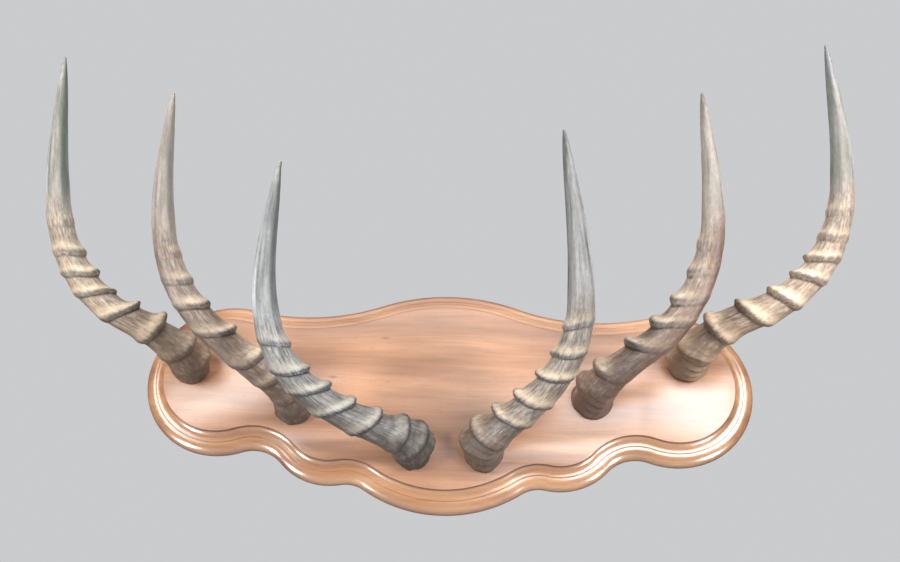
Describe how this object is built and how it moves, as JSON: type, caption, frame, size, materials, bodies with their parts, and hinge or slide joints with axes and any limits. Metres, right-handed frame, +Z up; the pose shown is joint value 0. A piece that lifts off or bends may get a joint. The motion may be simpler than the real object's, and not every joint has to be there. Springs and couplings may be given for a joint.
{
  "type": "impala horn wall plaque",
  "caption": "Ridged impala horns standing out and curving up from a shaped, moulded wooden wall board.",
  "frame": {"origin": "middle of the flat back of the board, in the plane of the wall it hangs on", "axes": "+X along the board, +Y into the wall, +Z up the wall; the horns stand out towards -Y and curve up"},
  "size_m": [0.931, 0.3135, 0.4678],
  "materials": {
    "board": "satin lacquered light walnut",
    "horn_inner": "blue-grey horn, striated, satin",
    "horn_middle": "beige-grey horn, brown at the base, satin",
    "horn_outer": "tan-brown horn, rough in its ridged half"
  },
  "bodies": {
    "root": {"board": "board", "horn_inner_left": "horn_inner", "horn_inner_right": "horn_inner", "horn_middle_left": "horn_middle", "horn_middle_right": "horn_middle", "horn_outer_left": "horn_outer", "horn_outer_right": "horn_outer"}
  },
  "joints": []
}
